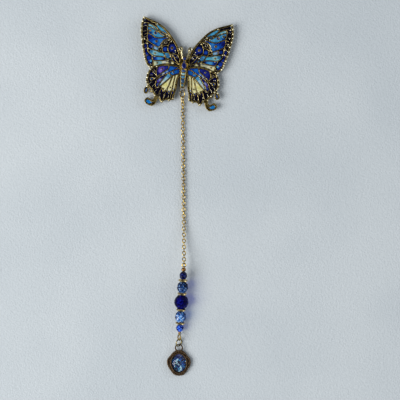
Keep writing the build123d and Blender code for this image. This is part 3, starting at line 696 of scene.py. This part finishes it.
# Walls stand a little back from the enamel, so that the painted shade line shows along each side.
WALL_SETBACK = 0.125 * MM
WALL_SPACING = 0.09 * MM
WALL_ROUNDING = 0.08 * MM
CORE_DROP = 0.12 * MM

bm = welded("butterfly_casting")
wall_loops = []
for loop in level_loops(bm, WALL_TOP):
    loop = thinned(loop, WALL_SPACING)
    wall_loops.append(inset(loop, WALL_SETBACK) if signed_area(loop) < 0 else loop)
for vert in bm.verts:
    if abs(vert.co.z - WALL_TOP) < 0.005 * MM:
        vert.co.z -= CORE_DROP

# The eyelet is worn a little thinner and wider, which leaves room for the tail ring at the end of its swing.
EYELET = WINGS + Vector((0, -12.95, 0)) * MM
EYELET_OUTER = 1.75 * MM
EYELET_NECK = 0.9 * MM
# points nearer than this belong to the bore, which is widened to the second radius
EYELET_BORE = 1.3 * MM
WORN_BORE = 1.4 * MM
WORN_BOTTOM = 2.17 * MM
WORN_TOP = 2.43 * MM
for vert in bm.verts:
    out = (vert.co - EYELET).xy
    if out.length < EYELET_OUTER and out.y < EYELET_NECK and vert.co.z < SHEET_TOP:
        if out.length < EYELET_BORE:
            vert.co.xy = EYELET.xy + out.normalized() * WORN_BORE
        vert.co.z = min(max(vert.co.z, WORN_BOTTOM), WORN_TOP)
core = bpy.data.meshes.new("casting_core")
bm.to_mesh(core)
bm.free()
shade(core, 30)
new_object("casting_core", core, MATERIALS["core"], "butterfly", ["butterfly_casting"])
walls = rounded_plate("casting_walls", wall_loops, SHEET_TOP + 0.02 * MM, WALL_TOP + WALL_ROUNDING,
                      WALL_ROUNDING)
shade(walls, 50)
new_object("casting_walls", walls, GOLD, "butterfly")

# A ring of painted shade in dark enamel colour goes round each hole in the walls that is large enough to hold
# enamel.
SMALLEST_CELL = 0.3 * MM * MM
OUTLINE_REACH = 0.36 * MM
cell_loops = [loop for loop in wall_loops if signed_area(loop) < -SMALLEST_CELL]
outlines = outline_rings("cell_outlines", cell_loops, FILL_TOP - 0.05 * MM, FILL_TOP + 0.07 * MM,
                         OUTLINE_REACH)
shade(outlines, 60)
new_object("cell_outlines", outlines, MATERIALS["outline"], "butterfly")

# ------------------------------------------------------------------ raised wire and grains on the wings

# height of the wire and grains, and their places on one wing, in millimetres from the middle of the butterfly
WIRE_TOP = 3.36
FINE_WIRE = 0.1
SQUIGGLES = [
    [(10.4, 14.6), (11.5, 14.3), (12.3, 13.5), (11.9, 12.7), (11.0, 12.9), (11.2, 13.7)],
    [(12.9, 12.4), (13.9, 11.8), (14.3, 10.7), (13.7, 10.0), (13.1, 10.5)],
    [(13.3, 14.0), (14.0, 13.2), (14.6, 12.1)],
    [(9.9, 16.6), (10.9, 17.5), (12.2, 18.8)],
    [(15.2, -6.1), (16.3, -5.2), (17.7, -4.2)],
    [(17.4, -6.2), (18.4, -5.9), (19.0, -6.5)],
    [(17.3, -10.0), (18.3, -10.5), (18.7, -11.3)],
    [(15.9, -11.4), (16.8, -12.1), (17.1, -13.1)],
    [(14.3, -14.3), (15.2, -15.1), (15.3, -16.0)],
    [(12.2, -15.9), (12.5, -17.1)], [(9.6, -16.9), (9.9, -18.4)], [(7.4, -16.6), (7.5, -18.0)],
    [(23.4, 21.6), (24.3, 21.9), (25.0, 21.4)], [(23.2, 18.8), (24.2, 18.9), (24.9, 18.2)],
    [(23.1, 15.4), (24.0, 15.4), (24.6, 14.7)], [(22.7, 11.8), (23.5, 11.7), (24.0, 11.1)],
    [(21.9, 9.4), (22.7, 8.9), (23.1, 8.1)], [(21.0, 5.0), (21.9, 5.0), (22.4, 4.4)],
    [(18.9, 2.9), (19.9, 2.2), (20.8, 2.2)], [(18.5, -0.2), (19.4, 0.2)],
    [(4.0, 6.2), (5.2, 5.0), (6.2, 5.4)], [(5.4, 8.6), (6.0, 7.4), (7.2, 7.6)],
]
# x, y and radius of each grain
GRAINS = [
    (17.5, 23.3, 0.42), (11.6, 17.8, 0.36), (11.0, 16.2, 0.34), (10.0, 14.6, 0.34), (8.5, 14.0, 0.3),
    (5.8, 9.0, 0.34), (7.0, 6.2, 0.3), (8.3, 5.8, 0.3), (15.0, 10.3, 0.38), (22.0, 11.8, 0.36),
    (21.5, 8.7, 0.34), (17.4, 4.6, 0.34), (23.1, 4.4, 0.38), (22.3, 1.7, 0.4), (18.3, -1.5, 0.44),
    (15.5, -1.0, 0.34), (24.1, 14.2, 0.34), (24.6, 23.4, 0.34), (25.1, 26.2, 0.46), (20.0, 20.9, 0.3),
    (13.3, 17.1, 0.3), (18.6, 5.1, 0.32), (8.7, -13.8, 0.32), (13.9, -12.9, 0.34), (9.2, -4.4, 0.3),
    (11.6, -5.6, 0.3), (16.2, -7.9, 0.34), (20.3, -7.8, 0.36), (19.8, -11.4, 0.36), (17.0, -15.1, 0.5),
    (15.2, -17.6, 0.42), (10.9, -20.5, 0.44), (6.9, -19.4, 0.38), (4.6, -18.3, 0.34), (12.5, -18.3, 0.3)]
# a feeler, and the two balls beside the loop at its end
FEELER = [(1.15, 4.6), (1.6, 6.5), (2.15, 8.4), (2.5, 9.7)]
FEELER_BALLS = [(1.9, 9.9), (3.7, 10.6)]
BALL_RADIUS = 0.34


def on_side(points, side):
    return [(side * x, y) for x, y in points]


raised = Build()
for side in (1, -1):
    for line in SQUIGGLES:
        raised.wire(on_side(line, side), FINE_WIRE, WIRE_TOP - 0.04)
    for x, y, radius in GRAINS:
        raised.dome(side * x, y, WIRE_TOP + 0.02, radius, radius, radius * 0.75, 10, 4)
    raised.hoop((side * 2.9, 10.3, WIRE_TOP + 0.02), 0.72, 0.24, sides=8, around=20)
    for x, y in FEELER_BALLS:
        raised.dome(side * x, y, WIRE_TOP + 0.02, BALL_RADIUS, BALL_RADIUS, 0.3, 10, 4)
    raised.wire(on_side(FEELER, side), 0.3, WIRE_TOP + 0.02)

# Small bosses along the outer margins give the wings their scalloped edge. They follow the one loop whose
# area is large, which is the outline of the whole casting.
BOSS_GAP = 2.4 * MM
BOSS_INSET = 0.22
BOSS_RADIUS = 0.52
RIM_AREA = 100 * MM * MM
INNER_X = 15
LOWEST_Y = -13
for loop in wall_loops:
    if signed_area(loop) < RIM_AREA:
        continue
    walked = 0.0
    for before, point in zip(loop, loop[1:]):
        step = (point - before).xy
        walked += step.length
        out = Vector((step.y, -step.x)).normalized()
        place = (point - WINGS).xy / MM
        faces_out = out.x * place.x > 0 and abs(out.x) > 0.5
        if walked > BOSS_GAP and faces_out and abs(place.x) > INNER_X and place.y > LOWEST_Y:
            walked = 0.0
            x, y = place - out * BOSS_INSET
            raised.dome(x, y, WIRE_TOP - 0.1, BOSS_RADIUS, BOSS_RADIUS, 0.34, 12, 4, 0.5)
new_object("raised_wire", raised.mesh("raised_wire"), MATERIALS["raised"], "butterfly")

# ------------------------------------------------------------------ body: collars and domed stones

BODY_TOP = 4.35
# y centre, x radius and y radius of each stone
STONES = [(4.75, 1.0, 0.85), (2.95, 0.7, 0.45), (0.75, 1.32, 1.76), (-2.15, 1.22, 0.72),
          (-3.85, 1.18, 0.68), (-5.55, 1.16, 0.72), (-7.85, 1.08, 1.3), (-10.35, 0.8, 0.86)]
# collars across the body between the stones: y centre and half width
COLLARS = [(3.75, 0.95), (2.6, 1.15), (-1.2, 1.5), (-3.0, 1.3), (-4.7, 1.25), (-6.4, 1.2), (-9.35, 1.0)]
BODY_SIDE = [(1.45, -1.2), (1.4, -3.0), (1.34, -5.6), (1.28, -8.0), (1.0, -10.2), (0.62, -11.4)]
COLLAR_WIRE = 0.13
stones = Build()
for y, rx, ry in STONES:
    stones.dome(0, y, BODY_TOP - 0.05, rx, ry, 0.34, 24, 6, 0.4, 0.55)
new_object("domed_stones", stones.mesh("domed_stones"), MATERIALS["body_stones"], "butterfly",
           ["body_stones"])
collars = Build()
for y, reach in COLLARS:
    sagging = [(-reach, y), (-reach * 0.5, y - 0.08), (0, y - 0.1), (reach * 0.5, y - 0.08), (reach, y)]
    collars.wire(sagging, COLLAR_WIRE, BODY_TOP + 0.1, taper=0.6)
for side in (1, -1):
    collars.wire(on_side(BODY_SIDE, side), COLLAR_WIRE, BODY_TOP + 0.02)
new_object("body_collars", collars.mesh("body_collars"), GOLD, "butterfly")

# ------------------------------------------------------------------ beads and spacers

# rows of a disc beyond this radius belong to its edge
EDGE_FROM = 2.0


def middle(node):
    low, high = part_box(node)
    return (low + high) / 2


def turned(name, centre, axis, rows, sides, angle=None, wave=0.0):
    """Bead or disc built round an axis from rows of (distance along it, radius, half step) in millimetres.

    A row that is turned by half a step gives three-sided facets. The last row closes on the first, through
    the bore. The wave makes the edge of a disc grainy. Without an angle the facets stay flat.
    """
    side = axis.orthogonal().normalized()
    up = axis.cross(side)
    verts = []
    faces = []
    for along, radius, half in rows:
        for i in range(sides):
            a = 2 * math.pi * (i + 0.5 * half) / sides
            reach = radius * (1 + wave) if i % 2 and radius > EDGE_FROM else radius
            verts.append(centre + (axis * along + (side * math.cos(a) + up * math.sin(a)) * reach) * MM)
    for k in range(len(rows)):
        near = k * sides
        far = (k + 1) % len(rows) * sides
        before, after = rows[k][2], rows[(k + 1) % len(rows)][2]
        for i in range(sides):
            j = (i + 1) % sides
            if before == after:
                faces.append((near + i, near + j, far + j, far + i))
            elif after:
                faces.extend([(near + i, near + j, far + i), (far + i, near + j, far + j)])
            else:
                faces.extend([(near + i, near + j, far + j), (near + i, far + j, far + i)])
    mesh = solid_mesh(name, [tuple(v) for v in verts], faces)
    if angle:
        shade(mesh, angle)
    return mesh


STRAND = (middle("ball_cap") - middle("bead_sapphire")).normalized()
BORE = 0.43
# node, radius, half length, end radius, facets round the widest row
BEADS = [("bead_navy", 2.25, 2.17, 1.1, 7), ("bead_steel", 3.25, 3.12, 1.6, 8),
         ("bead_cobalt", 4.1, 3.92, 2.0, 9), ("bead_ice", 3.2, 3.12, 1.6, 8),
         ("bead_sapphire", 2.2, 1.97, 1.05, 7)]
for node, radius, half, end, sides in BEADS:
    shoulder = radius * 0.86
    rows = [(-half, BORE, 0), (-half, end, 0), (-half * 0.6, shoulder, 1), (-half * 0.12, radius, 0),
            (half * 0.12, radius, 1), (half * 0.6, shoulder, 0), (half, end, 1), (half, BORE, 1)]
    bead = turned(node + "_cut", middle(node), STRAND, rows, sides)
    new_object(node + "_cut", bead, MATERIALS[node], node, [node])

# section of a dished spacer: distance along the strand and radius. The discs lean a little to the viewer.
SPACER = [(-0.62, BORE), (-0.62, 0.9), (-0.36, 1.2), (-0.34, 1.8), (-0.12, 2.45), (0.12, 2.62),
          (0.36, 2.5), (0.1, 2.1), (-0.04, 1.6), (0.1, 1.1), (0.62, 0.9), (0.62, BORE)]
SPACER_LEAN = (STRAND + Vector((0, 0, 0.13))).normalized()
SPACER_SIDES = 44
SPACER_WAVE = 0.035
for count in range(1, 5):
    node = "spacer_%d" % count
    rows = [(along, radius, 0) for along, radius in SPACER]
    disc = turned(node + "_dished", middle(node), SPACER_LEAN, rows, SPACER_SIDES, 40, SPACER_WAVE)
    new_object(node + "_dished", disc, MATERIALS["spacer"], node, [node])

# ------------------------------------------------------------------ charm

# right half of the charm's outer edge, from the bail down, in millimetres from the middle of the charm
SHOULDERS = [(0, 7.3), (1.8, 7.15), (3.3, 6.3), (5.0, 4.3), (6.5, 2.4), (6.95, 1.0),
             (6.75, -0.8), (5.9, -2.6), (4.4, -4.8), (3.0, -6.4), (1.6, -7.15), (0, -7.3)]
AROUND = 120
# The directions start a little off the symmetry line, where the two halves of the edge meet.
START_ANGLE = 0.001
USUAL_REACH = 7.0


def reach_at(angle):
    """Distance from the middle of the charm to its outer edge in a given direction."""
    for a, b in zip(EDGE, EDGE[1:]):
        cross_a = math.cos(angle) * a.y - math.sin(angle) * a.x
        cross_b = math.cos(angle) * b.y - math.sin(angle) * b.x
        if cross_a <= 0 <= cross_b or cross_b <= 0 <= cross_a:
            share = cross_a / (cross_a - cross_b) if cross_a != cross_b else 0
            point = a.lerp(b, share)
            if point.x * math.cos(angle) + point.y * math.sin(angle) > 0:
                return point.length
    return USUAL_REACH


half_edge = [p.xy for p in curved([Vector((x, y, 0)) for x, y in SHOULDERS], 8)]
EDGE = half_edge + [Vector((-p.x, p.y)) for p in reversed(half_edge)]
ANGLES = [2 * math.pi * i / AROUND + START_ANGLE for i in range(AROUND)]
OUTER = [reach_at(a) for a in ANGLES]


def edge_ring(z, inward, wobble=0.0):
    """Ring at one height that follows the outer edge, with the slight waviness of a cast rim."""
    return [((r - inward + wobble * math.sin(7 * a + z * 3) * math.sin(3 * a)) * math.cos(a),
             (r - inward + wobble * math.sin(5 * a + z * 5)) * math.sin(a), z) for a, r in zip(ANGLES, OUTER)]


def oval_ring(z, rx, ry):
    """Oval at one height, with its points in the same directions as those of the edge rings."""
    return [(rx * math.cos(a), ry * math.sin(a), z) for a in
            (math.atan2(math.sin(b) * rx, math.cos(b) * ry) for b in ANGLES)]


def between(one, two, share):
    return [Vector(a).lerp(Vector(b), share) for a, b in zip(one, two)]


bezel = Build(CHARM, CHARM_TURN)
# outer side of the rim, from the back to its crest: height, distance in from the edge, waviness
RIM = [(0.04, 0.35, 0.0), (0.2, 0.06, 0.0), (0.75, 0.0, 0.04), (1.35, 0.02, 0.05), (1.72, 0.16, 0.06),
       (1.95, 0.42, 0.05)]
# oval wall that holds the glass, from its outer foot over its top and down inside: height and two radii
OVAL_WALL = [(2.2, 4.95, 6.0), (2.46, 4.8, 5.86), (2.54, 4.6, 5.66), (2.46, 4.4, 5.46), (2.25, 4.2, 5.26),
             (0.97, 4.12, 5.14)]
rim_inner = edge_ring(1.92, 0.75, 0.05)
foot_ring = oval_ring(1.72, 5.05, 6.12)
# hollow between the rim and the wall: share of the way across and height
HOLLOW = [(0.4, 1.7), (0.75, 1.66)]
hollow_rings = [[(x, y, height) for x, y, z in between(rim_inner, foot_ring, share)]
                for share, height in HOLLOW]
bezel.rings([edge_ring(*row) for row in RIM] + [rim_inner] + hollow_rings + [foot_ring]
            + [oval_ring(*row) for row in OVAL_WALL])
# two rows of grains: one round the oval wall and one along the rim
GRAIN_COUNT = 52
for i in range(GRAIN_COUNT):
    a = 2 * math.pi * i / GRAIN_COUNT
    bezel.dome(5.3 * math.cos(a), 6.36 * math.sin(a), 1.72, 0.27, 0.27, 0.24, 8, 3, 0.1)
    a += math.pi / GRAIN_COUNT
    reach = reach_at(a) - 0.62
    bezel.dome(reach * math.cos(a), reach * math.sin(a), 1.82, 0.3, 0.3, 0.28, 8, 3, 0.12)
# bail ring and its neck
BAIL_RADIUS = 1.87
BAIL_WIRE = 0.29
bezel.hoop((0, 9.0, 1.70), BAIL_RADIUS, BAIL_WIRE, 0.7, sides=12, around=48)
bezel.wire([(0, 6.5), (0, 6.85), (0, 7.2)], 0.7, 1.4, 12, 0.6, 0.8)
bezel_mesh = bezel.mesh("charm_setting", 50)
new_object("charm_setting", bezel_mesh, MATERIALS["charm_bezel"], "charm", ["charm_bezel"])
glass_dome = Build(CHARM, CHARM_TURN)
glass_dome.dome(0, 0, 1.7, 4.05, 5.07, 1.85, 72, 14, 0.58)
new_object("charm_glass", glass_dome.mesh("charm_glass"), MATERIALS["dome"], "charm",
           ["charm_cabochon"])

# ------------------------------------------------------------------ floor, light and camera


def floor_material():
    p = Paint("floor_sheet")
    position = p.node("ShaderNodeNewGeometry").outputs["Position"]
    place = p.node("ShaderNodeVectorMath", {0: position, "Scale": 1000.0}, operation="SCALE").outputs[0]
    drift = p.noise(place, 0.012, 2)
    speck = p.noise(place, 0.9, 3, 0.6)
    colour = p.mix(p.ramp(drift, 0.3, 0.7), srgb(190, 197, 202), srgb(199, 205, 209))
    colour = p.mix(p.ramp(speck, 0.3, 0.7, 0.0, 0.25), colour, srgb(176, 184, 190))
    normal = p.bump(p.cells(place, 1.1), 0.17 * MM, 0.9)
    return p.finish(p.principled(base_color=colour, roughness=0.8, specular_ior_level=0.1, normal=normal))


bpy.ops.mesh.primitive_plane_add(size=6)
floor = bpy.context.object
# just below the object, so that flat undersides and the floor are not in the same place
FLOOR_GAP = 0.05 * MM
floor.location.z = cad_box[0].z - FLOOR_GAP
floor.name = "floor"
dress(floor, floor_material())


def area_light(name, location, target, size, power, colour):
    data = bpy.data.lights.new(name, "AREA")
    data.shape = "DISK"
    data.size = size
    data.energy = power
    data.color = colour
    light = bpy.data.objects.new(name, data)
    SCENE.collection.objects.link(light)
    light.location = location
    light.rotation_euler = (Vector(target) - Vector(location)).to_track_quat("-Z", "Y").to_euler()


MIDDLE = WINGS + Vector((6, -75, 0)) * MM
area_light("window", (-0.98, -0.38, 0.93), MIDDLE, 1.1, 22.5, (1.0, 0.985, 0.955))
area_light("far_side", (1.3, 0.5, 0.55), MIDDLE, 0.9, 4.5, (0.93, 0.96, 1.0))


def soft_room():
    """Pale room: bright near the horizon and dim straight overhead, where the viewer stands."""
    world = bpy.data.worlds.new("soft_room")
    SCENE.world = world
    world.use_nodes = True
    tree = world.node_tree
    direction = tree.nodes.new("ShaderNodeTexCoord").outputs["Generated"]
    height = tree.nodes.new("ShaderNodeSeparateXYZ")
    tree.links.new(direction, height.inputs[0])
    level = tree.nodes.new("ShaderNodeMapRange")
    level.interpolation_type = "SMOOTHSTEP"
    for key, value in {"From Min": 0.55, "From Max": 0.97, "To Min": 0.62, "To Max": 0.05}.items():
        level.inputs[key].default_value = value
    tree.links.new(height.outputs["Z"], level.inputs[0])
    background = tree.nodes["Background"]
    background.inputs["Color"].default_value = (0.84, 0.90, 0.96, 1)
    tree.links.new(level.outputs[0], background.inputs["Strength"])


soft_room()

# The camera looks straight down and is turned a little. Its picture is this wide on the table.
ROLL = math.radians(5.2)
AIM = WINGS + Vector((16.0, -74.8, 0.0)) * MM
PICTURE_WIDTH = 0.230
LENS = 100
SENSOR = 36
camera_data = bpy.data.cameras.new("camera")
camera_data.lens = LENS
camera_data.sensor_width = SENSOR
camera = bpy.data.objects.new("camera", camera_data)
SCENE.collection.objects.link(camera)
camera.location = AIM + Vector((0, 0, PICTURE_WIDTH * LENS / SENSOR))
camera.rotation_euler = (0, 0, ROLL)
camera_data.clip_end = 20
SCENE.camera = camera
SCENE.view_settings.view_transform = "Standard"
SCENE.view_settings.look = "None"
